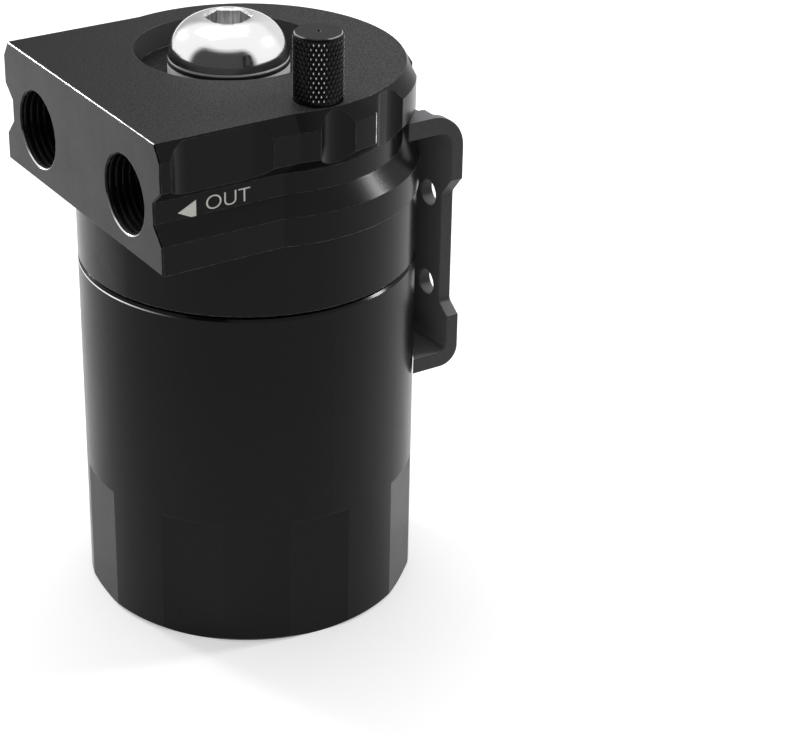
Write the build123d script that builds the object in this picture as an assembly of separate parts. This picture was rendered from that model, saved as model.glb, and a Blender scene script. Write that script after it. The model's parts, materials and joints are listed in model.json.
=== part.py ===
from build123d import *
import os
from math import cos, radians, sin, sqrt

# An oil catch can: a grooved billet head with two ports, a screwed-on canister and a wall bracket.
# Millimetres, +Z up, origin on the can's axis at the canister's foot.
# The ports face -Y, the outlet is at +X and the bracket stands at +Y.

# Canister
canister_r = 34.0
canister_height = 73.1
canister_wall = 3.0
canister_floor = 4.0
rim_bevel = 0.5
foot_bevel = 0.7
flat_count = 8
flat_height = 27.5
flat_depth = 0.65
flat_turn = -5.0

# Screw joint and seal between canister and head
spigot_length = 12.0
spigot_wall = 1.7
spigot_bevel = 0.5
pilot_length = 2.2
canister_thread_depth = 0.8
thread_clearance = 0.1
seal_gap = 0.7
seal_height = 2.0
seal_width = 1.9
seal_bevel = 0.5
seal_clearance = 0.1

# Head, heights measured down from its top face
head_height = 39.8
top_bevel_width = 2.0
top_bevel_height = 3.2
crown_proud = -0.5
crown_height = 9.1
neck_depth = 3.0
neck_top = 11.9
neck_bottom = 16.2
flare_bottom = 19.6
band_proud = 0.4
band_bottom = 25.4
chamber_roof = 29.6

# Port block
port_face = 36.3
block_half = 32.75
block_neck_half = 29.75
block_top_half = 30.7
block_edge_bevel = 0.3

# Ports
port_x = 18.4
port_depth_from_top = 14.3
port_bore_r = 7.75
port_thread_depth = 16.0
port_mouth_bevel = 0.25
port_drill_r = 6.0
port_drill_depth = 28.0
port_drill_point = 3.0
passage_r = 5.0
passage_margin = 0.7

# Crown scallops and the finger pockets on the block's sides
cutter_r = 5.5
scallop_depth = 1.8
scallop_angles = (1.6, 25.8, 63.0)
scallop_spread_angles = (0.0, 1.5, 0.0)
pocket_front = 34.0
pocket_back = 12.6

# Top plug
plug_x = -6.5
plug_seat_r = 18.75
plug_seat_depth = 5.0
plug_head_r = 11.95
plug_head_height = 8.5
plug_dome_r = 7.95
plug_thread_r = 8.0
plug_thread_length = 13.0
plug_socket = 8.0
plug_socket_depth = 5.0
plug_socket_bevel = 0.3
plug_washer_r = 12.1
plug_washer_thickness = 2.3
plug_seal_thickness = 0.6
plug_seal_bulge = 0.2

# Dipstick
knob_setback = 7.1
dipstick_y = 0.6
knob_r = 4.62
knob_height = 16.3
knob_bevel = 0.25
knob_foot_height = 1.2
knob_foot_inset = 0.25
knob_seat_depth = 4.0
knob_seat_clearance = 0.12
knob_dimple_r = 0.5
shank_r = 3.0
shank_length = 9.0
shank_end_room = 1.0
dip_rod_r = 1.4
dip_rod_length = 92.0
dip_rod_grip = 6.0
dip_rod_point = 0.7
dip_rod_fit = 0.02
dip_mark_depth = 0.35
dip_low_mark = 12.0
dip_full_mark = 34.0
dip_seal_thickness = 1.0
dip_seal_width = 1.2

# Inlet tube and baffle
tube_wall = 1.0
tube_grip = 6.0
tube_length = 48.0
tube_fit = 0.02
baffle_thickness = 1.5
baffle_lip = 0.5
baffle_clearance = 0.1
baffle_notch_clearance = 0.4
baffle_hole_r = 2.0
baffle_row_pitch = 7.0
baffle_row_counts = (8, 15, 22)
baffle_first_row = 7.5
baffle_hole_margin = 1.2
ring_thickness = 1.0
ring_lip = 1.0
ring_groove = 0.4
ring_gap_angle = 24.0

# Bracket
bracket_half = 22.0
bracket_plate = 2.7
bracket_height = 55.55
bracket_low_flange = 3.2
bracket_top_drop = 11.35
bracket_top_flange = 3.7
bracket_tab_width = 5.0
bracket_strip_width = 2.0
bracket_window_drop = 16.5
bracket_window_round = 1.5
bracket_outer_bend = 7.2
bracket_inner_bend = 3.0
bracket_low_bend = 4.0
bracket_low_inner_bend = 2.2
notch_depth = 3.2
notch_rise = 11.0
notch_length = 30.4
notch_low_slope = 2.3
notch_high_slope = 3.9
notch_round = 1.4
hole_spacing_x = 28.0
hole_spacing_z = 20.0
hole_centre_rise = 25.9
hole_r = 2.75
canister_clearance = 0.3
tab_clearance = 1.5

# Bracket screws
screw_r = 2.0
screw_head_r = 3.75
screw_length = 6.4
screw_socket = 2.5
screw_socket_depth = 1.3
screw_clearance = 0.2
screw_drop = 24.6
screw_spacing = 11.0

# Levels and radii that follow from the sizes above
bore_r = canister_r - canister_wall
skirt_z = canister_height + seal_gap
top_z = skirt_z + head_height
spigot_r = bore_r - thread_clearance
thread_root_r = spigot_r - canister_thread_depth
spigot_z = skirt_z - spigot_length
chamber_r = thread_root_r - spigot_wall
chamber_z = top_z - chamber_roof
crown_r = canister_r + crown_proud
crown_z = top_z - crown_height
neck_r = canister_r - neck_depth
band_r = canister_r + band_proud
band_z = top_z - band_bottom
neck_high = top_z - neck_top
neck_low = top_z - neck_bottom
flare_z = top_z - flare_bottom
bevel_z = top_z - top_bevel_height
top_r = crown_r - top_bevel_width
port_z = top_z - port_depth_from_top
passage_reach = chamber_r - passage_margin - passage_r
passage_y = sqrt(passage_reach**2 - port_x**2)
plug_seat_z = top_z - plug_seat_depth
plug_head_z = plug_seat_z + plug_washer_thickness + plug_seal_thickness
dipstick_x = crown_r - knob_setback
knob_seat_z = top_z - knob_seat_depth
knob_z = knob_seat_z + dip_seal_thickness
baffle_z = spigot_z + ring_lip + ring_thickness
bracket_top = top_z - bracket_top_drop
bracket_low = bracket_top - bracket_height
notch_low = bracket_low + notch_rise
notch_high = notch_low + notch_length
hole_centre_z = bracket_low + hole_centre_rise
screw_levels = (top_z - screw_drop - screw_spacing, top_z - screw_drop)
plate_y = band_r
plate_back_y = plate_y + bracket_plate
flat_r = canister_r - flat_depth

# How far a cutter runs past the face it comes out of, and a length past everything
runout = 1.0
plenty = 200.0


def turned(points, x=0.0, y=0.0):
    """A solid turned about a vertical axis at (x, y) from (radius, height) points."""
    outline = Plane.XZ * make_face(Polyline(*points, close=True))
    return Pos(x, y, 0) * revolve(outline, Axis.Z)


def rod(radius, low, high, x=0.0, y=0.0):
    """An upright cylinder between two levels."""
    return Pos(x, y, (low + high) / 2) * Cylinder(radius, high - low)


def ring(inner, outer, low, high, x=0.0, y=0.0):
    """An upright ring of rectangular section."""
    return turned([(inner, low), (outer, low), (outer, high), (inner, high)], x, y)


def bore_along_y(radius, x, z, start, length):
    """A cylinder that starts at y = start and runs towards +Y."""
    return Pos(x, start + length / 2, z) * Rot(90, 0, 0) * Cylinder(radius, length)


def make_canister():
    """Turned cup with eight wrench flats round its foot."""
    cup = turned(
        [
            (0, 0),
            (canister_r - foot_bevel, 0),
            (canister_r, foot_bevel),
            (canister_r, canister_height - rim_bevel),
            (canister_r - rim_bevel, canister_height),
            (bore_r, canister_height),
            (bore_r, canister_floor),
            (0, canister_floor),
        ]
    )
    for index in range(flat_count):
        turn = flat_turn + index * 360 / flat_count
        waste = Box(canister_r, canister_r, 2 * flat_height)
        cup -= Rot(0, 0, turn) * Pos(flat_r + canister_r / 2, 0, 0) * waste
    return cup


def make_head_blank():
    """Round body and port block, each carrying the same bevel, land, groove and flare."""
    body = turned(
        [
            (0, spigot_z),
            (thread_root_r - spigot_bevel, spigot_z),
            (thread_root_r, spigot_z + spigot_bevel),
            (thread_root_r, skirt_z - pilot_length),
            (spigot_r, skirt_z - pilot_length),
            (spigot_r, skirt_z),
            (canister_r, skirt_z),
            (canister_r, band_z),
            (band_r, band_z),
            (band_r, flare_z),
            (neck_r, neck_low),
            (neck_r, neck_high),
            (crown_r, crown_z),
            (crown_r, bevel_z),
            (top_r, top_z),
            (0, top_z),
        ]
    )
    half = [
        (block_half, band_z),
        (block_half, flare_z),
        (block_neck_half, neck_low),
        (block_neck_half, neck_high),
        (block_half, crown_z),
        (block_half, bevel_z),
        (block_top_half, top_z),
    ]
    outline = half + [(-x, z) for x, z in reversed(half)]
    block = extrude(Plane.XZ * make_face(Polyline(*outline, close=True)), port_face)
    front = block.faces().sort_by(Axis.Y)[0]
    block = chamfer(front.edges(), block_edge_bevel)
    return body + block


def scallop(angle, spread):
    """Cutter sweep that leaves one concave scallop in the crown."""
    path_r = crown_r - scallop_depth + cutter_r
    cut = None
    for step in (-1, 0, 1):
        turn = radians(angle + step * spread)
        pass_ = rod(cutter_r, neck_high, top_z + runout, path_r * cos(turn), path_r * sin(turn))
        cut = pass_ if cut is None else cut + pass_
    return cut


def finger_pocket(side):
    """Straight cutter pass along one side of the port block."""
    half_width = sqrt(cutter_r**2 - (cutter_r - scallop_depth) ** 2)
    front = -pocket_front + half_width
    back = -pocket_back - half_width
    x = side * (block_half - scallop_depth + cutter_r)
    high = top_z + runout
    middle = (neck_high + high) / 2
    pass_ = Pos(x, (front + back) / 2, middle) * Box(2 * cutter_r, back - front, high - neck_high)
    for end in (front, back):
        pass_ += rod(cutter_r, neck_high, high, x, end)
    return pass_


def port_hole(x):
    """Bevelled mouth, bore for the thread and a drilled hole behind it, turned about the port's axis."""
    hole = turned(
        [
            (0, 0),
            (port_bore_r + port_mouth_bevel, 0),
            (port_bore_r, port_mouth_bevel),
            (port_bore_r, port_thread_depth),
            (port_drill_r, port_thread_depth),
            (port_drill_r, port_drill_depth),
            (0, port_drill_depth + port_drill_point),
        ]
    )
    return Pos(x, -port_face, port_z) * Rot(-90, 0, 0) * hole


def make_head():
    head = make_head_blank()
    for angle, spread in zip(scallop_angles, scallop_spread_angles):
        head -= scallop(angle, spread)
        head -= scallop(180 - angle, spread)
    for side in (-1, 1):
        head -= finger_pocket(side)
        head -= port_hole(side * port_x)
        head -= rod(passage_r, chamber_z, port_z, side * port_x, -passage_y)
    # Chamber, with a seat for the baffle and a groove for the ring that holds it
    head -= rod(chamber_r, spigot_z, chamber_z)
    head -= rod(chamber_r + baffle_lip, spigot_z, baffle_z + baffle_thickness)
    ring_outer = chamber_r + baffle_lip + ring_groove
    head -= rod(ring_outer, baffle_z - ring_thickness, baffle_z)
    # Groove for the canister's seal
    groove_z = skirt_z - seal_gap + seal_height
    head -= ring(spigot_r, spigot_r + seal_width + 2 * seal_clearance, skirt_z, groove_z)
    # Seats and holes for the top plug and the dipstick
    head -= rod(plug_seat_r, plug_seat_z, top_z + runout, plug_x)
    head -= rod(plug_thread_r + thread_clearance, chamber_z, plug_seat_z, plug_x)
    head -= rod(knob_r + knob_seat_clearance, knob_seat_z, top_z + runout, dipstick_x, dipstick_y)
    shank_hole_z = knob_seat_z - shank_length - shank_end_room
    head -= rod(shank_r + thread_clearance, shank_hole_z, knob_seat_z, dipstick_x, dipstick_y)
    head -= rod(dip_rod_r + thread_clearance, chamber_z, knob_seat_z, dipstick_x, dipstick_y)
    # Blind holes for the bracket screws
    for level in screw_levels:
        tip = plate_back_y - screw_length - screw_clearance
        head -= bore_along_y(screw_r + thread_clearance, 0, level, tip, band_r - tip + runout)
    return head


def make_canister_seal():
    """Rubber ring with bevelled corners, pressed between the canister's rim and the head's groove."""
    inner = spigot_r + seal_clearance
    outer = inner + seal_width
    low = canister_height
    high = low + seal_height
    return turned(
        [
            (inner + seal_bevel, low),
            (outer - seal_bevel, low),
            (outer, low + seal_bevel),
            (outer, high - seal_bevel),
            (outer - seal_bevel, high),
            (inner + seal_bevel, high),
            (inner, high - seal_bevel),
            (inner, low + seal_bevel),
        ]
    )


def make_top_plug():
    """Domed plug screw with a hex socket."""
    rim = plug_head_height - plug_dome_r
    crest_r = plug_head_r - plug_dome_r
    middle = plug_dome_r / sqrt(2)
    thread_end = plug_seat_z - plug_thread_length - plug_head_z
    with BuildPart() as plug:
        with BuildSketch(Plane.XZ):
            with BuildLine():
                Polyline(
                    (crest_r, plug_head_height),
                    (0, plug_head_height),
                    (0, thread_end),
                    (plug_thread_r, thread_end),
                    (plug_thread_r, 0),
                    (plug_head_r, 0),
                    (plug_head_r, rim),
                )
                shoulder = (crest_r + middle, rim + middle)
                ThreePointArc((plug_head_r, rim), shoulder, (crest_r, plug_head_height))
            make_face()
        revolve(axis=Axis.Z)
        with BuildSketch(Plane.XY.offset(plug_head_height)):
            RegularPolygon(plug_socket / 2, 6, major_radius=False)
        extrude(amount=-plug_socket_depth, mode=Mode.SUBTRACT)
    corner_r = plug_socket / sqrt(3)
    lead = Cone(corner_r - plug_socket_bevel, corner_r + plug_socket_bevel, 2 * plug_socket_bevel)
    plug_solid = plug.part - Pos(0, 0, plug_head_height) * lead
    return Pos(plug_x, 0, plug_head_z) * plug_solid


def make_plug_washer():
    high = plug_seat_z + plug_washer_thickness
    return ring(plug_thread_r + thread_clearance, plug_washer_r, plug_seat_z, high, plug_x)


def make_plug_seal():
    low = plug_seat_z + plug_washer_thickness
    outer = plug_head_r + plug_seal_bulge
    inner = plug_thread_r + thread_clearance
    return ring(inner, outer, low, plug_head_z, plug_x)


def make_dipstick_knob():
    """Knob with a plain foot, a threaded shank below it and a blind hole for the rod."""
    top = knob_z + knob_height
    shank_end = knob_seat_z - shank_length
    foot_r = knob_r - knob_foot_inset
    knob = turned(
        [
            (0, shank_end),
            (shank_r, shank_end),
            (shank_r, knob_z),
            (foot_r, knob_z),
            (foot_r, knob_z + knob_foot_height),
            (knob_r, knob_z + knob_foot_height + knob_foot_inset),
            (knob_r, top - knob_bevel),
            (knob_r - knob_bevel, top),
            (knob_dimple_r, top),
            (0, top - knob_dimple_r),
        ],
        dipstick_x,
        dipstick_y,
    )
    grip_r = dip_rod_r + dip_rod_fit
    return knob - rod(grip_r, shank_end, shank_end + dip_rod_grip, dipstick_x, dipstick_y)


def make_dipstick_rod():
    """Thin rod with a ring cut at the low and the full level."""
    high = knob_seat_z - shank_length + dip_rod_grip
    low = high - dip_rod_length
    stick = rod(dip_rod_r, low, high, dipstick_x, dipstick_y)
    stick = chamfer(stick.edges().sort_by(Axis.Z)[0], dip_rod_point)
    for z in (low + dip_low_mark, low + dip_full_mark):
        mark_r = dip_rod_r - dip_mark_depth
        mark = (z - dip_mark_depth, z + dip_mark_depth)
        stick -= ring(mark_r, 2 * dip_rod_r, *mark, dipstick_x, dipstick_y)
    return stick


def make_dipstick_seal():
    inner = shank_r + thread_clearance
    return ring(inner, inner + dip_seal_width, knob_seat_z, knob_z, dipstick_x, dipstick_y)


def make_inlet_tube():
    """Straight tube pressed into the inlet passage, so that the blow-by enters low in the canister."""
    outer = passage_r - tube_fit
    high = chamber_z + tube_grip
    tube = rod(outer, high - tube_length, high) - rod(outer - tube_wall, high - tube_length, high)
    return Pos(-port_x, -passage_y, 0) * tube


def make_baffle_plate():
    """Perforated disc with a hole for the inlet tube and a notch for the dipstick."""
    outer = chamber_r + baffle_lip - baffle_clearance
    low = baffle_z
    high = baffle_z + baffle_thickness
    plate = rod(outer, low, high)
    tube_hole_r = passage_r + baffle_clearance
    notch_half = dip_rod_r + baffle_notch_clearance
    plate -= rod(tube_hole_r, low, high, -port_x, -passage_y)
    plate -= rod(notch_half, low, high, dipstick_x, dipstick_y)
    slot = Box(outer, 2 * notch_half, baffle_thickness)
    plate -= Pos(dipstick_x + outer / 2, dipstick_y, (low + high) / 2) * slot
    holes = None
    for row, count in enumerate(baffle_row_counts):
        row_r = baffle_first_row + row * baffle_row_pitch
        for index in range(count):
            turn = radians(index * 360 / count)
            x = row_r * cos(turn)
            y = row_r * sin(turn)
            web = baffle_hole_r + baffle_hole_margin
            to_tube = sqrt((x + port_x) ** 2 + (y + passage_y) ** 2)
            to_rod = sqrt((x - dipstick_x) ** 2 + (y - dipstick_y) ** 2)
            if to_tube < tube_hole_r + web or to_rod < notch_half + web:
                continue
            hole = rod(baffle_hole_r, low, high, x, y)
            holes = hole if holes is None else holes + hole
    return plate - holes


def make_baffle_ring():
    """Open snap ring that holds the baffle in its seat."""
    outer = chamber_r + baffle_lip + ring_groove - baffle_clearance
    low = baffle_z - ring_thickness
    circlip = ring(chamber_r, outer, low, baffle_z)
    gap = 2 * outer * sin(radians(ring_gap_angle / 2))
    return circlip - Pos(0, -outer, low) * Box(gap, outer, plenty)


def bracket_notch(side):
    """Relief along one upright edge of the bracket, with sloped and rounded ends."""
    inner = bracket_half - notch_depth
    outline = Polyline(
        (inner, notch_low + notch_low_slope),
        (inner, notch_high - notch_high_slope),
        (bracket_half, notch_high),
        (2 * bracket_half, notch_high),
        (2 * bracket_half, notch_low),
        (bracket_half, notch_low),
        close=True,
    )
    face = make_face(outline)
    slope_ends = face.vertices().sort_by(Axis.X)[:4]
    face = fillet(slope_ends, notch_round)
    waste = extrude(Plane.XZ * face, plenty, both=True)
    return waste if side > 0 else mirror(waste, Plane.YZ)


def make_bracket():
    """Channel with two tabs in the head's groove and a cradle flange below."""
    low_inner = bracket_low + bracket_low_flange
    top_inner = bracket_top - bracket_top_flange
    section = make_face(
        Polyline(
            (0, bracket_low),
            (plate_back_y, bracket_low),
            (plate_back_y, bracket_top),
            (0, bracket_top),
            (0, top_inner),
            (plate_y, top_inner),
            (plate_y, low_inner),
            (0, low_inner),
            close=True,
        )
    )
    bends = (
        (plate_back_y, bracket_top, bracket_outer_bend),
        (plate_y, top_inner, bracket_inner_bend),
        (plate_back_y, bracket_low, bracket_low_bend),
        (plate_y, low_inner, bracket_low_inner_bend),
    )
    for y, z, radius in bends:
        corner = section.vertices().sort_by_distance((y, z, 0))[0]
        section = fillet(corner, radius)
    channel = extrude(Plane.YZ * section, bracket_half, both=True)
    # Window between the two tabs, wider behind the head, where only a strip carries each tab
    window_low = top_z - bracket_window_drop
    window_half = bracket_half - bracket_strip_width
    window = Box(2 * window_half, plenty, plenty)
    window = fillet(window.edges().filter_by(Axis.Y), bracket_window_round)
    channel -= Pos(0, neck_r + plenty / 2, window_low + plenty / 2) * window
    tab_gap = Box(2 * (bracket_half - bracket_tab_width), neck_r, plenty)
    channel -= Pos(0, neck_r / 2, window_low + plenty / 2) * tab_gap
    # Clear the groove above and the canister below
    channel -= rod(neck_r + tab_clearance, window_low, plenty)
    channel -= rod(canister_r + canister_clearance, 0, low_inner + bracket_low_inner_bend)
    for side in (-1, 1):
        channel -= bracket_notch(side)
        for end in (-1, 1):
            x = side * hole_spacing_x / 2
            z = hole_centre_z + end * hole_spacing_z / 2
            channel -= bore_along_y(hole_r, x, z, plate_y, bracket_plate)
    for level in screw_levels:
        channel -= bore_along_y(screw_r + screw_clearance, 0, level, plate_y, bracket_plate)
        channel -= screw_head(level, screw_clearance)
    return channel


def screw_head(level, grow):
    """Countersunk head, flush with the back of the bracket."""
    depth = screw_head_r - screw_r
    cone = Cone(screw_r + grow, screw_head_r + grow, depth)
    return Pos(0, plate_back_y - depth / 2, level) * Rot(-90, 0, 0) * cone


def make_bracket_screws():
    screws = []
    for level in screw_levels:
        depth = screw_head_r - screw_r
        screw = screw_head(level, 0)
        screw += bore_along_y(screw_r, 0, level, plate_back_y - screw_length, screw_length - depth)
        socket = extrude(RegularPolygon(screw_socket / 2, 6, major_radius=False), screw_socket_depth)
        screw -= Pos(0, plate_back_y, level) * Rot(90, 0, 0) * socket
        screws.append(screw)
    return Compound(children=screws)


nodes = {
    "head": make_head(),
    "canister": make_canister(),
    "canister_seal": make_canister_seal(),
    "top_plug": make_top_plug(),
    "plug_seal": make_plug_seal(),
    "plug_washer": make_plug_washer(),
    "dipstick_knob": make_dipstick_knob(),
    "dipstick_rod": make_dipstick_rod(),
    "dipstick_seal": make_dipstick_seal(),
    "inlet_tube": make_inlet_tube(),
    "baffle_plate": make_baffle_plate(),
    "baffle_ring": make_baffle_ring(),
    "bracket": make_bracket(),
    "bracket_screws": make_bracket_screws(),
}

os.makedirs("parts", exist_ok=True)
for name, shape in nodes.items():
    export_step(shape, f"parts/{name}.step")
    print(name, round(sum(solid.volume for solid in shape.solids())), "mm3")
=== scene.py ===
# %% [markdown]
# # An oil catch can, dressed in Blender
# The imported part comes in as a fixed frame: every node already has its size and its place, in metres.
# This lesson gives each surface its finish, adds the threads, the knurl and the flow mark, and lights it.

# %% Load the frame
import json
from math import acos, atan2, cos, pi, radians, sin, sqrt

import bmesh
import bpy
from mathutils import Matrix, Vector


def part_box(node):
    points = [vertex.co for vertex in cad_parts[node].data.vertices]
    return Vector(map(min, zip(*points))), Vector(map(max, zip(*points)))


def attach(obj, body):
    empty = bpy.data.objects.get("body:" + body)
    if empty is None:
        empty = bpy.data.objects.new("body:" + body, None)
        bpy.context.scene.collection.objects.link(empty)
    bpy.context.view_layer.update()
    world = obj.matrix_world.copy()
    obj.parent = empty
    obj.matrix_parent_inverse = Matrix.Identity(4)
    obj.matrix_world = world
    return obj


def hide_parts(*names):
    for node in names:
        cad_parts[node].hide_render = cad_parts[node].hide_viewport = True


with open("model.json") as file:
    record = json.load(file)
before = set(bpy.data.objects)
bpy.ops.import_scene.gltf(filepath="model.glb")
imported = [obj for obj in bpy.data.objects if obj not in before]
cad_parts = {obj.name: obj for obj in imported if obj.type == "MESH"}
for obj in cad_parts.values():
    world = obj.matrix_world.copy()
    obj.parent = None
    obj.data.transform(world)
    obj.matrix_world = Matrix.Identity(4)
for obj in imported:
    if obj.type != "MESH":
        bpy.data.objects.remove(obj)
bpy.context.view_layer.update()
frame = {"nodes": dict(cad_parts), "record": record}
nodes = frame["nodes"]
MM = 0.001
print("nodes:", sorted(nodes))

# %% [markdown]
# ## The camera
# The photograph looks down at the can from the front right with a long lens.
# The angles, the place and the focal length were worked out from the round rims and the straight edges of
# the head, and the frame is 800 by 744 pixels, so a sensor of 36 mm across gives the width.

# %% Camera
view_azimuth = radians(56.46)
view_elevation = radians(27.56)
view_roll = radians(-1.20)
camera_place = Vector((392.4, -222.4, 279.9)) * MM
sensor_width = 36.0
focal_length = 110.04

across = Vector((cos(view_azimuth), sin(view_azimuth), 0))
rise = Vector((
    -sin(view_azimuth) * sin(view_elevation),
    cos(view_azimuth) * sin(view_elevation),
    cos(view_elevation),
))
camera_right = across * cos(view_roll) - rise * sin(view_roll)
camera_up = across * sin(view_roll) + rise * cos(view_roll)
camera_back = camera_right.cross(camera_up)

camera = bpy.data.objects.new("camera", bpy.data.cameras.new("camera"))
camera.data.sensor_width = sensor_width
camera.data.lens = focal_length
camera.data.clip_start = 0.01
turn = Matrix((camera_right, camera_up, camera_back)).transposed().to_4x4()
camera.matrix_world = Matrix.Translation(camera_place) @ turn
bpy.context.scene.collection.objects.link(camera)
bpy.context.scene.camera = camera
print("camera at", [round(c, 3) for c in camera_place])


# %% [markdown]
# ## A short way to add shader nodes
# Every material below is a small tree of nodes. This helper adds one node, sets its options, and for each
# input either links a socket or sets a plain value, so that a tree reads as a list of steps.

# %% Node helper
def add(tree, kind, inputs=None, **options):
    """Adds a node to a tree. An input given as a socket is linked, and any other value is set."""
    made = tree.nodes.new(kind)
    for name, value in options.items():
        setattr(made, name, value)
    for name, value in (inputs or {}).items():
        if isinstance(value, bpy.types.NodeSocket):
            tree.links.new(value, made.inputs[name])
        else:
            made.inputs[name].default_value = value
    return made


def calc(tree, operation, first, second=0.0):
    """One step of arithmetic."""
    return add(tree, "ShaderNodeMath", {0: first, 1: second}, operation=operation).outputs[0]


def remap(tree, value, low, high, to_low=0.0, to_high=1.0, smooth=False):
    """Maps low..high to to_low..to_high, and clamps."""
    kind = "SMOOTHSTEP" if smooth else "LINEAR"
    inputs = {"Value": value, "From Min": low, "From Max": high, "To Min": to_low, "To Max": to_high}
    return add(tree, "ShaderNodeMapRange", inputs, interpolation_type=kind).outputs["Result"]


def between(tree, mask, first, second):
    """Goes from the first value to the second as the mask goes from 0 to 1."""
    return remap(tree, mask, 0.0, 1.0, first, second)


def mix_colour(tree, mask, first, second):
    """Goes from the first colour to the second as the mask goes from 0 to 1."""
    made = add(tree, "ShaderNodeMix", data_type="RGBA")
    for socket, value in ((made.inputs[0], mask), (made.inputs[6], first), (made.inputs[7], second)):
        if isinstance(value, bpy.types.NodeSocket):
            tree.links.new(value, socket)
        else:
            socket.default_value = value
    return made.outputs[2]


def grey(level):
    return (level, level, level, 1.0)


def object_place(tree):
    """Where a point of the piece is, in metres."""
    return add(tree, "ShaderNodeTexCoord").outputs["Object"]


def split(tree, vector):
    """The X, Y and Z of a vector."""
    return add(tree, "ShaderNodeSeparateXYZ", {"Vector": vector}).outputs


def vector_calc(tree, operation, first, second):
    """One step of vector arithmetic."""
    return add(tree, "ShaderNodeVectorMath", {0: first, 1: second}, operation=operation).outputs[0]


def dot(tree, first, second):
    """How far one vector reaches along another."""
    return add(tree, "ShaderNodeVectorMath", {0: first, 1: second}, operation="DOT_PRODUCT").outputs["Value"]


def axis_distance(tree, place, centre, keep=(1, 1, 0)):
    """How far a place is from a line through a centre: upright, or along the axis that keep leaves out."""
    flat = vector_calc(tree, "MULTIPLY", vector_calc(tree, "SUBTRACT", place, centre), keep)
    return add(tree, "ShaderNodeVectorMath", {0: flat}, operation="LENGTH").outputs["Value"]


# %% [markdown]
# ## The stage
# A plain white floor, big enough to fill the frame. The lamps light it to nearly white by themselves, and a
# little light of its own, seen only by camera, glossy and transmitted rays, takes it to white.
# So the metal shows a white room too, and the floor still keeps the can's soft shadow. As in a real studio,
# the room is dark behind the camera, which gives polished metal something dark to show, and the wall behind
# the can falls off to the left, which keeps the flat tops from going pale.

# %% Floor and surroundings
def seen_rays(tree):
    """1 for rays from the camera, and for those that a mirror or glass sends on."""
    path = add(tree, "ShaderNodeLightPath")
    seen = calc(tree, "MAXIMUM", path.outputs["Is Camera Ray"], path.outputs["Is Glossy Ray"])
    return calc(tree, "MAXIMUM", seen, path.outputs["Is Transmission Ray"])


def make_floor():
    floor_half = 3.0
    floor_white = 0.86
    floor_lift = 0.42
    bm = bmesh.new()
    bmesh.ops.create_grid(bm, x_segments=1, y_segments=1, size=floor_half)
    mesh = bpy.data.meshes.new("floor")
    bm.to_mesh(mesh)
    bm.free()
    material = bpy.data.materials.new("floor_white")
    material.use_nodes = True
    tree = material.node_tree
    shader = tree.nodes["Principled BSDF"]
    shader.inputs["Base Color"].default_value = grey(floor_white)
    shader.inputs["Roughness"].default_value = 1.0
    shader.inputs["Specular IOR Level"].default_value = 0.0
    shader.inputs["Emission Color"].default_value = grey(1.0)
    tree.links.new(calc(tree, "MULTIPLY", seen_rays(tree), floor_lift), shader.inputs["Emission Strength"])
    mesh.materials.append(material)
    floor = bpy.data.objects.new("floor", mesh)
    bpy.context.scene.collection.objects.link(floor)
    print("floor", 2 * floor_half, "m across")


toward_camera = Vector((sin(view_azimuth), -cos(view_azimuth), 0))


def make_surroundings():
    """A world that the camera and the metal see as white, and that lights matt surfaces less."""
    white = 1.0
    fill = 0.42
    dark = 0.06
    wall_left, wall_right = 0.45, 0.80
    # Where each zone begins and where it is full: cosines to a direction, and sines of a height
    near_zone, near_below = (0.30, 0.55), (0.84, 0.62)
    wall_zone, wall_below = (-0.60, -0.80), (0.62, 0.48)
    wall_span = 0.30
    dark_shift = 0.15
    world = bpy.data.worlds.new("white_room")
    bpy.context.scene.world = world
    world.use_nodes = True
    tree = world.node_tree
    background = tree.nodes["Background"]
    background.inputs["Color"].default_value = grey(1.0)
    direction = add(tree, "ShaderNodeTexCoord").outputs["Generated"]
    facing = dot(tree, direction, (toward_camera - dark_shift * across).normalized())
    height = split(tree, direction)["Z"]
    near = remap(tree, facing, *near_zone, smooth=True)
    low = remap(tree, height, *near_below, smooth=True)
    wall = remap(tree, dot(tree, direction, across), -wall_span, wall_span, wall_left, wall_right)
    behind = calc(tree, "MULTIPLY", remap(tree, facing, *wall_zone), remap(tree, height, *wall_below))
    room = between(tree, behind, white, wall)
    shown = between(tree, calc(tree, "MULTIPLY", near, low), room, dark)
    mirrored = between(tree, seen_rays(tree), fill, shown)
    straight = add(tree, "ShaderNodeLightPath").outputs["Is Camera Ray"]
    strength = between(tree, straight, mirrored, white)
    tree.links.new(strength, background.inputs["Strength"])
    print("world", white, "seen and", fill, "as fill light")


make_floor()
make_surroundings()

# %% [markdown]
# ## The lamps
# A wide soft box above and behind lights the top faces and the floor. Two small strong ones, behind at the
# left and at the right, put the sharp glints on bevels and cones that make black metal readable.

# %% Soft boxes
bpy.context.scene.view_settings.view_transform = "Standard"
aim = Vector((0, 0, 70)) * MM


def soft_box(name, side, front, up, width, height, watts):
    """A rectangular lamp, placed to the camera's right, towards it and above the aim, in metres."""
    lamp = bpy.data.lights.new(name, "AREA")
    lamp.shape = "RECTANGLE"
    lamp.size = width
    lamp.size_y = height
    lamp.energy = watts
    box = bpy.data.objects.new(name, lamp)
    place = aim + across * side + toward_camera * front + Vector((0, 0, up))
    box.matrix_world = Matrix.Translation(place) @ (place - aim).to_track_quat("Z", "Y").to_matrix().to_4x4()
    bpy.context.scene.collection.objects.link(box)
    print(name, [round(c, 2) for c in place], watts, "W")


soft_box("top_box", side=-0.15, front=-0.35, up=1.0, width=0.9, height=0.7, watts=4.5)
soft_box("left_box", side=-0.72, front=-0.58, up=0.37, width=0.14, height=0.12, watts=3.2)
soft_box("right_box", side=0.79, front=-0.27, up=0.55, width=0.14, height=0.12, watts=3.0)


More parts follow.
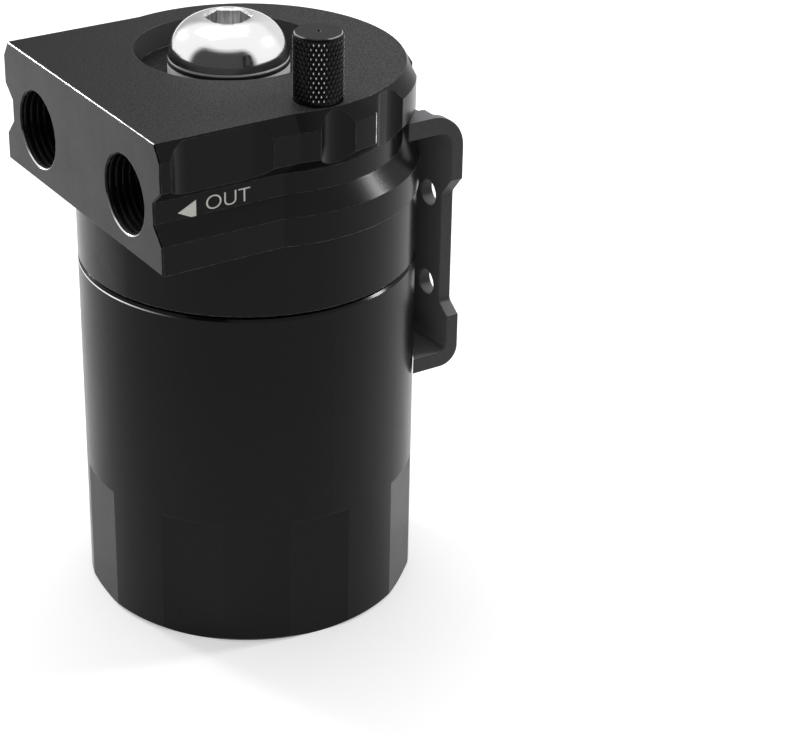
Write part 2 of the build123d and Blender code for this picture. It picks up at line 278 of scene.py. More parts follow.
# %% [markdown]
# ## Shared effects
# Four effects turn up on several finishes, so each is a node group, built once.
# Turned lines are the fine rings that a lathe leaves, so they follow the height along the can's axis.
# Blast grain is the fine speckle of a bead-blasted face. Soft edges rounds every sharp edge a little in the
# shading, because no machined edge is perfectly sharp, and gives a mask of where those edges are.
# Smudges are soft clouds that vary a finish a little from place to place.

# %% Effect groups
# Most of a noise texture's values lie between these two
noise_middle = (0.3, 0.7)


def effect(name, inputs, outputs):
    """An empty shader group with float inputs (name, default) and outputs (name, socket type)."""
    tree = bpy.data.node_groups.new(name, "ShaderNodeTree")
    for label, default in inputs:
        socket = tree.interface.new_socket(name=label, in_out="INPUT", socket_type="NodeSocketFloat")
        socket.default_value = default
    for label, kind in outputs:
        tree.interface.new_socket(name=label, in_out="OUTPUT", socket_type=kind)
    return tree, tree.nodes.new("NodeGroupInput"), tree.nodes.new("NodeGroupOutput")


def make_turned_lines():
    outputs = [("Height", "NodeSocketFloat")]
    tree, given, out = effect("turned_lines", [("Lines per metre", 4000.0)], outputs)
    place = object_place(tree)
    height = split(tree, place)["Z"]
    steps = calc(tree, "MULTIPLY", height, given.outputs["Lines per metre"])
    fine = add(tree, "ShaderNodeTexNoise", {"W": steps, "Scale": 1.0, "Detail": 3.0}, noise_dimensions="1D")
    tree.links.new(fine.outputs["Fac"], out.inputs["Height"])
    return tree


def make_blast_grain():
    outputs = [("Height", "NodeSocketFloat"), ("Speckle", "NodeSocketFloat")]
    tree, given, out = effect("blast_grain", [("Grains per metre", 4000.0)], outputs)
    place = object_place(tree)
    size = given.outputs["Grains per metre"]
    pale_grains = (0.38, 0.72)
    pits = add(tree, "ShaderNodeTexNoise", {"Vector": place, "Scale": size, "Detail": 2.0})
    tree.links.new(pits.outputs["Fac"], out.inputs["Height"])
    tree.links.new(remap(tree, pits.outputs["Fac"], *pale_grains), out.inputs["Speckle"])
    return tree


def make_soft_edges():
    outputs = [("Normal", "NodeSocketVector"), ("Edge", "NodeSocketFloat")]
    tree, given, out = effect("soft_edges", [("Radius", 0.0002)], outputs)
    rounded = add(tree, "ShaderNodeBevel", {"Radius": given.outputs["Radius"]}, samples=6).outputs["Normal"]
    flat = add(tree, "ShaderNodeNewGeometry").outputs["Normal"]
    # The cosine between the rounded and the flat normal, where an edge begins and where it is full
    edge_cosines = (0.99, 0.85)
    tree.links.new(rounded, out.inputs["Normal"])
    tree.links.new(remap(tree, dot(tree, rounded, flat), *edge_cosines), out.inputs["Edge"])
    return tree


def make_smudges():
    tree, given, out = effect("smudges", [("Patches per metre", 60.0)], [("Smudge", "NodeSocketFloat")])
    place = object_place(tree)
    size = given.outputs["Patches per metre"]
    cloud = add(tree, "ShaderNodeTexNoise", {"Vector": place, "Scale": size, "Detail": 5.0, "Roughness": 0.6})
    tree.links.new(remap(tree, cloud.outputs["Fac"], *noise_middle), out.inputs["Smudge"])
    return tree


turned_lines = make_turned_lines()
blast_grain = make_blast_grain()
soft_edges = make_soft_edges()
smudges = make_smudges()
print("effects:", sorted(group.name for group in bpy.data.node_groups))


def use(tree, group, **inputs):
    """Places a shared effect in a material."""
    named = {name.replace("_", " "): value for name, value in inputs.items()}
    made = tree.nodes.new("ShaderNodeGroup")
    made.node_tree = group
    for name, value in named.items():
        made.inputs[name].default_value = value
    return made.outputs


def bump(tree, height, depth, normal):
    """Raises a surface by a height map whose full range is depth metres."""
    inputs = {"Height": height, "Distance": depth, "Strength": 1.0, "Normal": normal}
    return add(tree, "ShaderNodeBump", inputs).outputs["Normal"]


def new_finish(name, colour, roughness, metallic=0.0, ior=1.5):
    """A material with its constant values on the shader's own sockets."""
    material = bpy.data.materials.new(name)
    material.use_nodes = True
    shader = material.node_tree.nodes["Principled BSDF"]
    shader.inputs["Base Color"].default_value = (*colour, 1.0)
    shader.inputs["Roughness"].default_value = roughness
    shader.inputs["Metallic"].default_value = metallic
    shader.inputs["IOR"].default_value = ior
    return material, material.node_tree, shader


# %% [markdown]
# ## Black anodised aluminium
# Anodising dyes a thin hard layer of the metal itself, so every turned line and every pit of the blasting
# shows through. The canister is turned: rings run round it, and a fine bump along its height gives them.
# Some highlights of the photograph come from lamps whose place isn't known, so bare lines stand in for them.

# %% Anodised canister
anodised_black = (0.0052, 0.0052, 0.0062)
anodised_ior = 1.21
bare_and_painted_highlight_grey = 0.8
worn_share = 0.5


def anodised_canister():
    """Turned rings, a burnished rim bevel, a painted paler foot and a painted reflection left of the rim."""
    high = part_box("canister")[1]
    roughness, burnished_roughness = 0.26, 0.15
    line_depth = 0.000005
    foot_grey, worn_grey = 0.012, 0.05
    pale_heights = (0.060, 0.010)
    bevel_heights = (high.z - 0.9 * MM, high.z - 0.8 * MM)
    line_foot = (high.z - 0.85 * MM, high.z - 0.78 * MM)
    line_top = (high.z - 0.48 * MM, high.z - 0.56 * MM)
    left_side = (-0.010, -0.026)
    patch_shares = (0.7, 1.0)
    material, tree, shader = new_finish("anodised_turned", anodised_black, roughness, ior=anodised_ior)
    edges = use(tree, soft_edges, Radius=0.00020)
    lines = use(tree, turned_lines, Lines_per_metre=3500.0)
    marks = use(tree, smudges, Patches_per_metre=55.0)
    rough = between(tree, marks["Smudge"], roughness - 0.03, roughness + 0.05)
    place = object_place(tree)
    height = split(tree, place)["Z"]
    burnished = calc(tree, "MAXIMUM", remap(tree, height, *bevel_heights), edges["Edge"])
    tree.links.new(between(tree, burnished, rough, burnished_roughness), shader.inputs["Roughness"])
    normal = bump(tree, lines["Height"], line_depth, edges["Normal"])
    tree.links.new(normal, shader.inputs["Normal"])
    # Painted a little paler towards the foot, where the photograph's floor lights it
    patchy = between(tree, marks["Smudge"], *patch_shares)
    paler = calc(tree, "MULTIPLY", remap(tree, height, *pale_heights), patchy)
    tone = mix_colour(tree, paler, (*anodised_black, 1.0), grey(foot_grey))
    worn = calc(tree, "MULTIPLY", edges["Edge"], worn_share)
    tone = mix_colour(tree, worn, tone, grey(worn_grey))
    # A bare line round the left of the rim stands in for the reflection of a lamp there
    painted_light_left = remap(tree, dot(tree, place, across), *left_side, smooth=True)
    line = calc(tree, "MULTIPLY", remap(tree, height, *line_foot), remap(tree, height, *line_top))
    bare = calc(tree, "MULTIPLY", line, painted_light_left)
    tree.links.new(mix_colour(tree, bare, tone, grey(bare_and_painted_highlight_grey)), shader.inputs["Base Color"])
    tree.links.new(bare, shader.inputs["Metallic"])
    return material


# %% [markdown]
# ### The knob's finish
# The same black, with the bevel round the top turned bright. The tips of the knurl are picked out by their
# distance from the knob's axis, so they need no material of their own.
# Where the knob faces the viewer and along its outline, the tips are painted pale: a painted highlight.

# %% Anodised knob
knurl_swell = 0.28 * MM
knob_bevel = 0.25 * MM


def anodised_knob():
    """The bevel round the top is bright. Tips facing the viewer and on the outline get a painted highlight.
    """
    low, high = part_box("dipstick_knob")
    centre = (low + high) / 2
    crest = (high.x - low.x) / 2 + knurl_swell
    roughness = 0.20
    bevel_grey, painted_highlight_grey = 0.30, 0.95
    bevel_foot = (high.z - knob_bevel, high.z - 0.9 * knob_bevel)
    bevel_top = (high.z - 0.05 * knob_bevel, high.z - 0.15 * knob_bevel)
    tip_radii = (crest - 0.15 * MM, crest - 0.09 * MM)
    facing_side, facing_shares = (0.145, 0.075), (0.06, 1.0)
    outline_side, outline_shares = (0.70, 0.92), (0.0, 0.55)
    material, tree, shader = new_finish("anodised_knurled", anodised_black, roughness, ior=anodised_ior)
    place = object_place(tree)
    height = split(tree, place)["Z"]
    radius = axis_distance(tree, place, centre)
    outer = calc(tree, "GREATER_THAN", radius, 0.8 * crest)
    ring = calc(tree, "MULTIPLY", remap(tree, height, *bevel_foot), remap(tree, height, *bevel_top))
    ring = calc(tree, "MULTIPLY", ring, outer)
    tip = remap(tree, radius, *tip_radii)
    # The side of the knob that faces the viewer, whatever the knurl does: its tips get a painted highlight
    outward = vector_calc(tree, "SUBTRACT", place, centre)
    outward = vector_calc(tree, "MULTIPLY", outward, (1, 1, 0))
    options = {"vector_type": "NORMAL", "convert_from": "OBJECT", "convert_to": "WORLD"}
    outward = add(tree, "ShaderNodeVectorTransform", {"Vector": outward}, **options).outputs["Vector"]
    turned_away = add(tree, "ShaderNodeLayerWeight", {"Blend": 0.5, "Normal": outward}).outputs["Facing"]
    painted_highlight_mask = remap(tree, turned_away, *facing_side, *facing_shares, smooth=True)
    painted_highlight_mask = calc(tree, "MAXIMUM", painted_highlight_mask, remap(tree, turned_away, *outline_side, *outline_shares))
    pale = calc(tree, "MULTIPLY", tip, painted_highlight_mask)
    tone = mix_colour(tree, pale, (*anodised_black, 1.0), grey(painted_highlight_grey))
    tree.links.new(mix_colour(tree, ring, tone, grey(bevel_grey)), shader.inputs["Base Color"])
    tree.links.new(ring, shader.inputs["Metallic"])
    return material


# %% [markdown]
# ### The head's finish
# The sides are turned or milled, and the top looks blasted, so faces that look up have a fine speckle. The
# front face's top edge is bare metal, broken by nicks. Painted light goes on top: the speckle is painted
# stronger to the right, the front face and the seat's walls are painted paler, and bare lines on the ports'
# lower lips and one scallop's edge are painted reflections. Masks made from the place and the direction of a
# face tell these areas apart, so the head stays one piece with one material.

# %% Bare edges and painted reflections of the head
mounts = {mount["name"]: mount for mount in frame["record"]["mounts"]}


def bare_edges_and_painted_reflections(tree, point, edge, low, high):
    """Bare metal on the front's top edge and nicks, and painted reflections on the lower lips and a scallop
    edge.
    """
    place = split(tree, point)
    nick_noise = add(tree, "ShaderNodeTexNoise", {"Vector": point, "Scale": 700.0, "Detail": 3.0})
    nick_range = (0.40, 0.60)
    nicks = remap(tree, nick_noise.outputs["Fac"], *nick_range)
    edge_width = 0.22 * MM
    lip_width = 0.27 * MM
    top_shares, line_shares = (0.5, 1.0), (0.5, 0.9)
    front_share, side_share = 0.4, 0.22
    front = remap(tree, place["Y"], low.y + edge_width, low.y + 0.8 * edge_width)
    top = remap(tree, place["Z"], high.z - edge_width, high.z - 0.8 * edge_width)
    top = calc(tree, "MULTIPLY", top, between(tree, nicks, *top_shares))
    rubbed = calc(tree, "MULTIPLY", edge, nicks)
    # Both ports are alike, so one distance serves the left and the right one
    port = mounts["outlet_port"]
    port_r = port["dims"]["r_mm"] * MM
    port_z = port["pos_m"][2]
    inputs = {"X": calc(tree, "ABSOLUTE", place["X"]), "Z": place["Z"]}
    mirrored = add(tree, "ShaderNodeCombineXYZ", inputs).outputs["Vector"]
    from_port = axis_distance(tree, mirrored, port["pos_m"], (1, 0, 1))
    # Only the lower half of each lip is bare, where a reflection falls: a painted reflection
    lower_half = remap(tree, place["Z"], port_z - 0.3 * port_r, port_z - 0.8 * port_r)
    lip = calc(tree, "MULTIPLY", calc(tree, "LESS_THAN", from_port, port_r + lip_width), lower_half)
    outline_nicks = calc(tree, "MULTIPLY", rubbed, front_share)
    on_front = calc(tree, "MAXIMUM", calc(tree, "MAXIMUM", top, outline_nicks), lip)
    on_front = calc(tree, "MULTIPLY", front, on_front)
    bare = calc(tree, "MAXIMUM", on_front, calc(tree, "MULTIPLY", rubbed, side_share))
    # A bare line on the near edge of one scallop stands in for the reflection of a lamp there
    scallop_edge = Vector((31.92, 10.18, 0)) * MM
    line_radii = (0.26 * MM, 0.14 * MM)
    crown_low = high.z - 9.1 * MM
    fade = 0.3 * MM
    line = remap(tree, axis_distance(tree, point, scallop_edge), *line_radii)
    line = calc(tree, "MULTIPLY", line, remap(tree, place["Z"], crown_low, crown_low + fade))
    line = calc(tree, "MULTIPLY", line, between(tree, nicks, *line_shares))
    return calc(tree, "MAXIMUM", bare, line)


# %% Anodised head
def anodised_head():
    """Machined sides, a speckled top and seat, bare metal on some edges, painted light and reflections."""
    low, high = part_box("head")
    plug_low, plug_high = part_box("top_plug")
    seat_r = 18.9 * MM
    seat_low = high.z - 5.1 * MM
    roughness, edge_roughness, blasted_roughness = 0.21, 0.15, 0.50
    line_depth, grain_depth = 0.000006, 0.00002
    speckle_grey, painted_wall_light_grey, worn_grey = 0.105, 0.062, 0.06
    painted_front_dark, painted_front_pale = 0.022, 0.052
    looks_up = (0.7, 0.95)
    looks_forward = (-0.95, -0.99)
    right_side, right_shares = (-0.045, 0.040), (0.06, 1.0)
    left_side, left_shares = (0.030, -0.030), (0.6, 1.0)
    material, tree, shader = new_finish("anodised_head", anodised_black, roughness, ior=anodised_ior)
    edges = use(tree, soft_edges, Radius=0.00018)
    lines = use(tree, turned_lines, Lines_per_metre=3500.0)
    grain = use(tree, blast_grain, Grains_per_metre=3100.0)
    marks = use(tree, smudges, Patches_per_metre=130.0)
    coords = add(tree, "ShaderNodeTexCoord").outputs
    place = split(tree, coords["Object"])
    facing = split(tree, coords["Normal"])
    # Turned or milled sides, blasted top and plug seat
    from_plug = axis_distance(tree, coords["Object"], (plug_low + plug_high) / 2)
    inside = calc(tree, "LESS_THAN", from_plug, seat_r)
    seat = calc(tree, "MULTIPLY", inside, calc(tree, "GREATER_THAN", place["Z"], seat_low))
    blasted = calc(tree, "MAXIMUM", remap(tree, facing["Z"], *looks_up), seat)
    line_height = calc(tree, "MULTIPLY", lines["Height"], calc(tree, "SUBTRACT", 1.0, blasted))
    normal = bump(tree, line_height, line_depth, edges["Normal"])
    grain_height = calc(tree, "MULTIPLY", grain["Height"], blasted)
    normal = bump(tree, grain_height, grain_depth, normal)
    tree.links.new(normal, shader.inputs["Normal"])
    rough = between(tree, edges["Edge"], roughness, edge_roughness)
    tree.links.new(between(tree, blasted, rough, blasted_roughness), shader.inputs["Roughness"])
    # Painted light: speckle painted stronger to the right, front face painted paler, most to the left
    painted_light_right = remap(tree, dot(tree, coords["Object"], across), *right_side, *right_shares)
    speckle = calc(tree, "MULTIPLY", grain["Speckle"], calc(tree, "MULTIPLY", blasted, painted_light_right))
    tone = mix_colour(tree, speckle, (*anodised_black, 1.0), grey(speckle_grey))
    # The seat's walls are painted a flat grey, paler than the black: painted light in the recess
    upright = calc(tree, "MULTIPLY", seat, calc(tree, "LESS_THAN", facing["Z"], looks_up[0]))
    tone = mix_colour(tree, upright, tone, grey(painted_wall_light_grey))
    painted_light_left = remap(tree, place["X"], *left_side, *left_shares)
    pale = calc(tree, "MULTIPLY", painted_light_left, marks["Smudge"])
    painted_front_tone = mix_colour(tree, pale, grey(painted_front_dark), grey(painted_front_pale))
    tone = mix_colour(tree, remap(tree, facing["Y"], *looks_forward), tone, painted_front_tone)
    worn = calc(tree, "MULTIPLY", edges["Edge"], worn_share)
    tone = mix_colour(tree, worn, tone, grey(worn_grey))
    bare = bare_edges_and_painted_reflections(tree, coords["Object"], edges["Edge"], low, high)
    tree.links.new(mix_colour(tree, bare, tone, grey(bare_and_painted_highlight_grey)), shader.inputs["Base Color"])
    tree.links.new(bare, shader.inputs["Metallic"])
    return material


# %% Dress the anodised nodes
def dress(material, *names):
    """Gives CAD nodes a finish in place of the one they came with."""
    for name in names:
        node = nodes[name]
        node.data.materials.clear()
        node.data.materials.append(material)
    print(material.name, "on", names)


canister_finish = anodised_canister()
knob_finish = anodised_knob()
head_finish = anodised_head()
dress(canister_finish, "canister")
dress(head_finish, "head")


# %% [markdown]
# ## Bare metals
# The plug's dome was polished on a lathe: a mirror with fine rings in it. The washer, the tube and the baffle
# are bare aluminium with plain tool marks, and the rod, the snap ring and the screws are steel.

# %% Metal finishes
def polished_dome():
    """A mirror with fine rings. The socket and the rim are duller."""
    low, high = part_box("top_plug")
    polished = (0.90, 0.90, 0.91)
    roughness = 0.10
    ring_roughness = (0.05, 0.13)
    ring_depth = 0.000005
    haze = 0.05
    socket_r = 4.75 * MM
    rim_height = 0.55 * MM
    rim_roughness, socket_roughness = 0.90, 0.35
    scraped_dark, scraped_pale = 0.40, 0.85
    streak_range = (0.35, 0.65)
    material, tree, shader = new_finish("polished_aluminium", polished, roughness, metallic=1.0)
    place = object_place(tree)
    height = split(tree, place)["Z"]
    radius = axis_distance(tree, place, (low + high) / 2)
    along = calc(tree, "SUBTRACT", radius, height)
    inputs = {"W": along, "Scale": 2600.0, "Detail": 4.0}
    rings = add(tree, "ShaderNodeTexNoise", inputs, noise_dimensions="1D").outputs["Fac"]
    marks = use(tree, smudges, Patches_per_metre=160.0)
    rough = remap(tree, rings, *noise_middle, *ring_roughness)
    hazy = calc(tree, "ADD", rough, calc(tree, "MULTIPLY", marks["Smudge"], haze))
    # The socket is pressed in and the rim is left as turned, so neither is polished
    pressed = calc(tree, "LESS_THAN", radius, socket_r)
    rim = calc(tree, "LESS_THAN", height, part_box("plug_seal")[1].z + rim_height)
    rough = between(tree, rim, hazy, rim_roughness)
    tree.links.new(between(tree, pressed, rough, socket_roughness), shader.inputs["Roughness"])
    upright = add(tree, "ShaderNodeMapping", {"Vector": place, "Scale": (1.0, 1.0, 0.08)}).outputs["Vector"]
    inputs = {"Vector": upright, "Scale": 2200.0, "Detail": 3.0}
    streaks = add(tree, "ShaderNodeTexNoise", inputs).outputs["Fac"]
    scraped = mix_colour(tree, remap(tree, streaks, *streak_range), grey(scraped_dark), grey(scraped_pale))
    tone = mix_colour(tree, pressed, (*polished, 1.0), scraped)
    tree.links.new(tone, shader.inputs["Base Color"])
    edges = use(tree, soft_edges, Radius=0.00012)
    tree.links.new(bump(tree, rings, ring_depth, edges["Normal"]), shader.inputs["Normal"])
    return material


def plain_metal(name, colour, roughness, line_depth):
    """Bare metal with tool marks, a little duller and darker in patches."""
    smudge_tone = 0.88
    material, tree, shader = new_finish(name, colour, roughness, metallic=1.0)
    edges = use(tree, soft_edges, Radius=0.0001)
    lines = use(tree, turned_lines, Lines_per_metre=5000.0)
    marks = use(tree, smudges, Patches_per_metre=120.0)
    rough = between(tree, marks["Smudge"], roughness - 0.05, roughness + 0.08)
    tree.links.new(rough, shader.inputs["Roughness"])
    tree.links.new(bump(tree, lines["Height"], line_depth, edges["Normal"]), shader.inputs["Normal"])
    tone = mix_colour(tree, marks["Smudge"], (*colour, 1.0), (*[smudge_tone * c for c in colour], 1.0))
    tree.links.new(tone, shader.inputs["Base Color"])
    return material


dome_finish = polished_dome()
bare_finish = plain_metal("bare_aluminium", (0.80, 0.80, 0.81), 0.24, 0.000003)
steel_finish = plain_metal("drawn_steel", (0.55, 0.55, 0.56), 0.28, 0.000003)
washer_finish = plain_metal("soft_aluminium", (0.97, 0.97, 0.97), 0.92, 0.000003)
dress(bare_finish, "inlet_tube", "baffle_plate")
dress(washer_finish, "plug_washer")
dress(steel_finish, "dipstick_rod", "baffle_ring", "bracket_screws")


# %% [markdown]
# ## Coated bracket and rubber seals
# The bracket is a milled channel with a satin black coat, which flows a little and leaves a faint orange
# peel. Its broad faces are painted paler: painted light. The seals are black rubber, matt, with a fine grain.

# %% Coat and rubber
def coated(name, colour, roughness, peel_per_metre, peel_depth, edge_radius, ior, paler):
    """A dark coat. Broad faces, which look forward or up, may be painted paler than the edges: painted light.
    """
    broad_from, broad_full = 0.5, 0.9
    speckle_lift = 1.35
    material, tree, shader = new_finish(name, colour, roughness, ior=ior)
    edges = use(tree, soft_edges, Radius=edge_radius)
    peel = use(tree, blast_grain, Grains_per_metre=peel_per_metre)
    marks = use(tree, smudges, Patches_per_metre=45.0)
    tree.links.new(bump(tree, peel["Height"], peel_depth, edges["Normal"]), shader.inputs["Normal"])
    rough = between(tree, marks["Smudge"], roughness - 0.05, roughness + 0.06)
    tree.links.new(rough, shader.inputs["Roughness"])
    tone = mix_colour(tree, peel["Speckle"], (*colour, 1.0), (*[speckle_lift * c for c in colour], 1.0))
    outward = add(tree, "ShaderNodeTexCoord").outputs["Normal"]
    facing = split(tree, outward)
    forward = remap(tree, facing["Y"], -broad_from, -broad_full)
    broad = calc(tree, "MAXIMUM", forward, remap(tree, facing["Z"], broad_from, broad_full))
    tone = mix_colour(tree, broad, tone, (*[paler * c for c in colour], 1.0))
    tree.links.new(tone, shader.inputs["Base Color"])
    return material


# The bracket's broad faces are painted 7.5 times paler: painted light
bracket_finish = coated(
    "satin_black_coat", (0.026, 0.026, 0.027), roughness=0.42,
    peel_per_metre=1500.0, peel_depth=0.00003, edge_radius=0.0004, ior=1.35, paler=7.5,
)
rubber_finish = coated(
    "black_rubber", (0.012, 0.012, 0.012), roughness=0.65,
    peel_per_metre=5000.0, peel_depth=0.00001, edge_radius=0.0002, ior=1.4, paler=1.0,
)
dress(bracket_finish, "bracket")
dress(rubber_finish, "canister_seal", "plug_seal", "dipstick_seal")


# %% [markdown]
# ## Pieces and threads
# A thread is a ridge that winds round its axis. A small closed outline is spun about the axis and shifted a
# little at each step, which is exactly how a screw-cutting tool moves. The ridge is then trimmed flat at
# both ends and its cut faces are filled.

# %% Piece and thread helpers
weld_distance = 1e-7


def new_piece(bm, name, material, body, sharp=30.0):
    """Turns a bmesh into a smooth-shaded piece that rides on a body."""
    bmesh.ops.remove_doubles(bm, verts=bm.verts, dist=weld_distance)
    bmesh.ops.recalc_face_normals(bm, faces=bm.faces)
    mesh = bpy.data.meshes.new(name)
    bm.to_mesh(mesh)
    bm.free()
    mesh.shade_smooth()
    mesh.set_sharp_from_angle(angle=radians(sharp))
    mesh.materials.append(material)
    piece = bpy.data.objects.new(name, mesh)
    bpy.context.scene.collection.objects.link(piece)
    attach(piece, body)
    print(name, len(mesh.polygons), "faces on", body)
    return piece


def fill_holes(bm):
    rims = [edge for edge in bm.edges if edge.is_boundary]
    bmesh.ops.holes_fill(bm, edges=rims, sides=0)


def trim(bm, place, direction):
    """Cuts off what lies beyond a plane and closes the cut."""
    everything = bm.verts[:] + bm.edges[:] + bm.faces[:]
    bmesh.ops.bisect_plane(bm, geom=everything, plane_co=place, plane_no=direction, clear_outer=True)
    fill_holes(bm)


def thread_ridge(bm, start, axis, root_r, crest_r, pitch, length, turn_steps=48):
    """A right-handed ridge along axis from start, with its foot at root_r and its crest at crest_r."""
    axis = Vector(axis)
    side = axis.orthogonal().normalized()
    foot = 0.42 * pitch
    crest = 0.10 * pitch
    ridge = bmesh.new()
    outline = [(root_r, -foot), (crest_r, -crest), (crest_r, crest), (root_r, foot)]
    ring = [ridge.verts.new(Vector(start) + side * r + axis * (t - pitch)) for r, t in outline]
    edges = [ridge.edges.new((a, b)) for a, b in zip(ring, ring[1:] + ring[:1])]
    turns = length / pitch + 2
    steps = int(turns * turn_steps)
    bmesh.ops.spin(
        ridge,
        geom=ring + edges,
        cent=start,
        axis=axis,
        dvec=axis * (pitch / turn_steps),
        angle=2 * pi * steps / turn_steps,
        steps=steps,
        use_duplicate=False,
    )
    fill_holes(ridge)
    trim(ridge, start, -axis)
    trim(ridge, Vector(start) + axis * length, axis)
    bmesh.ops.recalc_face_normals(ridge, faces=ridge.faces)
    shape = bpy.data.meshes.new("ridge")
    ridge.to_mesh(shape)
    ridge.free()
    bm.from_mesh(shape)
    bpy.data.meshes.remove(shape)


# %% [markdown]
# ## Threads in the ports and on the spigot
# The ports take hose fittings with a pipe thread of 18 turns to the inch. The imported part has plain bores
# at the thread's core, so a ridge lines each one. The canister screws on a coarser thread on the head's
# spigot, which shows when the canister is off.

# %% Port and spigot threads
inch = 25.4 * MM
port_turns_per_inch = 18
# How far the foot of an outer ridge is sunk into its shank, so that no gap shows
ridge_sunk = 0.1 * MM


def make_port_thread(name):
    mount = mounts[name]
    radius = mount["dims"]["r_mm"] * MM
    length = mount["dims"]["length_mm"] * MM
    axis = -Vector(mount["axis"])
    mouth_inset = 0.1 * MM
    shorter = 0.3 * MM
    sunk = 0.06 * MM
    depth = 0.15 * MM
    start = Vector(mount["pos_m"]) - axis * (length / 2 - mouth_inset)
    bm = bmesh.new()
    pitch = inch / port_turns_per_inch
    thread_ridge(bm, start, axis, radius + sunk, radius - depth, pitch, length - shorter)
    new_piece(bm, name + "_thread", head_finish, "head")


def make_spigot_thread():
    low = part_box("head")[0]
    root_r = 30.1 * MM
    crest_r = 30.8 * MM
    pitch = 2.0 * MM
    length = 9.0 * MM
    lead_in = 0.6 * MM
    start = Vector((0, 0, low.z + lead_in))
    bm = bmesh.new()
    thread_ridge(bm, start, (0, 0, 1), root_r - ridge_sunk, crest_r, pitch, length, turn_steps=96)
    new_piece(bm, "spigot_thread", head_finish, "head")


make_port_thread("inlet_port")
make_port_thread("outlet_port")
make_spigot_thread()


# %% [markdown]
# ## The top plug
# A turned and polished screw: a thin rim, a dome, a hex socket in its crest and a threaded shank below.
# The outline is drawn as a few points with one spun arc for the dome, and then spun about the plug's axis.
# The socket starts as a six-sided loop that is bridged to the round crest and pushed down.

# %% Plug
def outline(bm, points, centre):
    """Joins (radius, height) points by edges, in the upright plane through the centre."""
    made = [bm.verts.new((centre.x + r, centre.y, z)) for r, z in points]
    for a, b in zip(made, made[1:]):
        bm.edges.new((a, b))
    return made


def rim_edges(bm, height):
    """The open edges at one height."""
    same_height = 1e-6
    open_edges = [edge for edge in bm.edges if edge.is_boundary or edge.is_wire]
    return [edge for edge in open_edges if all(abs(v.co.z - height) < same_height for v in edge.verts)]


def make_plug():
    low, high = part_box("top_plug")
    centre = (low + high) / 2
    head_r = (high.x - low.x) / 2
    dome_r = 7.95 * MM
    head_height = 8.5 * MM
    socket = 8.0 * MM
    socket_depth = 5.0 * MM
    lead = 0.30 * MM
    drill_point = 1.2 * MM
    head_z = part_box("plug_seal")[1].z
    crest_z = head_z + head_height
    core_r = 7.35 * MM
    crest_r = 7.95 * MM
    pitch = 1.5 * MM
    tip_bevel = 0.8 * MM
    rim_bevel = 0.15 * MM
    lip = 0.25 * MM
    thread_inset = 0.9 * MM
    thread_relief = 1.2 * MM
    arc_steps = 20
    round_steps = 120
    bm = bmesh.new()
    points = [(0, low.z), (core_r - tip_bevel, low.z), (core_r, low.z + tip_bevel), (core_r, head_z)]
    points += [(head_r - rim_bevel, head_z), (head_r, head_z + rim_bevel), (head_r, crest_z - dome_r)]
    last = outline(bm, points, centre)[-1]
    knee = Vector((centre.x + head_r - dome_r, centre.y, crest_z - dome_r))
    lead_r = socket / sqrt(3) + lip
    sweep = acos((lead_r - head_r + dome_r) / dome_r)
    bmesh.ops.spin(bm, geom=[last], cent=knee, axis=(0, -1, 0), angle=sweep, steps=arc_steps)
    lip_z = knee.z + dome_r * sin(sweep)
    geometry = bm.verts[:] + bm.edges[:]
    middle = (centre.x, centre.y, 0)
    bmesh.ops.spin(
        bm, geom=geometry, cent=middle, axis=(0, 0, 1), angle=2 * pi, steps=round_steps, use_merge=True
    )
    bmesh.ops.remove_doubles(bm, verts=bm.verts, dist=weld_distance)
    # The socket
    place = Matrix.Translation((centre.x, centre.y, lip_z - lead)) @ Matrix.Rotation(pi / 6, 4, "Z")
    hexagon = bmesh.ops.create_circle(bm, segments=6, radius=socket / sqrt(3), matrix=place)["verts"]
    sides = list({edge for v in hexagon for edge in v.link_edges})
    bmesh.ops.subdivide_edges(bm, edges=sides, cuts=round_steps // 6 - 1)
    hexagon = rim_edges(bm, lip_z - lead)
    bmesh.ops.bridge_loops(bm, edges=rim_edges(bm, lip_z) + hexagon)
    wall = bmesh.ops.extrude_edge_only(bm, edges=hexagon)["geom"]
    lower = [v for v in wall if isinstance(v, bmesh.types.BMVert)]
    socket_z = crest_z - socket_depth
    bmesh.ops.translate(bm, verts=lower, vec=(0, 0, socket_z - lip_z + lead))
    floor = bmesh.ops.edgeloop_fill(bm, edges=rim_edges(bm, socket_z))["faces"]
    tip = bmesh.ops.poke(bm, faces=floor)["verts"]
    bmesh.ops.translate(bm, verts=tip, vec=(0, 0, -drill_point))
    # The thread on the shank
    start = Vector((centre.x, centre.y, low.z + thread_inset))
    length = head_z - start.z - thread_relief
    thread_ridge(bm, start, (0, 0, 1), core_r - ridge_sunk, crest_r, pitch, length)
    plug = new_piece(bm, "plug_dome", dome_finish, "top_plug")
    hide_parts("top_plug")


make_plug()


# %% [markdown]
# ## The dipstick knob
# A diamond knurl is rolled in by two crossed wheels, which raise a net of small pyramids. A flat grid has its
# middle points raised in a chequer pattern and each square split between its low corners, which makes the
# pyramids. The sheet is wrapped round the knob and a bevel blunts the tips. The rims are pulled out from
# there, ring by ring: the bevel and the dimple above, the plain foot and the threaded shank below.

# %% Knob
def pull_rim(bm, height, steps, centre):
    """Extrudes the open rim at a height through (radius, height) rings, about a vertical axis."""
    rim = rim_edges(bm, height)
    for radius, z in steps:
        made = bmesh.ops.extrude_edge_only(bm, edges=rim)["geom"]
        rim = [e for e in made if isinstance(e, bmesh.types.BMEdge)]
        for v in {v for e in rim for v in e.verts}:
            turn = atan2(v.co.y - centre.y, v.co.x - centre.x)
            v.co = (centre.x + radius * cos(turn), centre.y + radius * sin(turn), z)
    bmesh.ops.edgeloop_fill(bm, edges=rim)


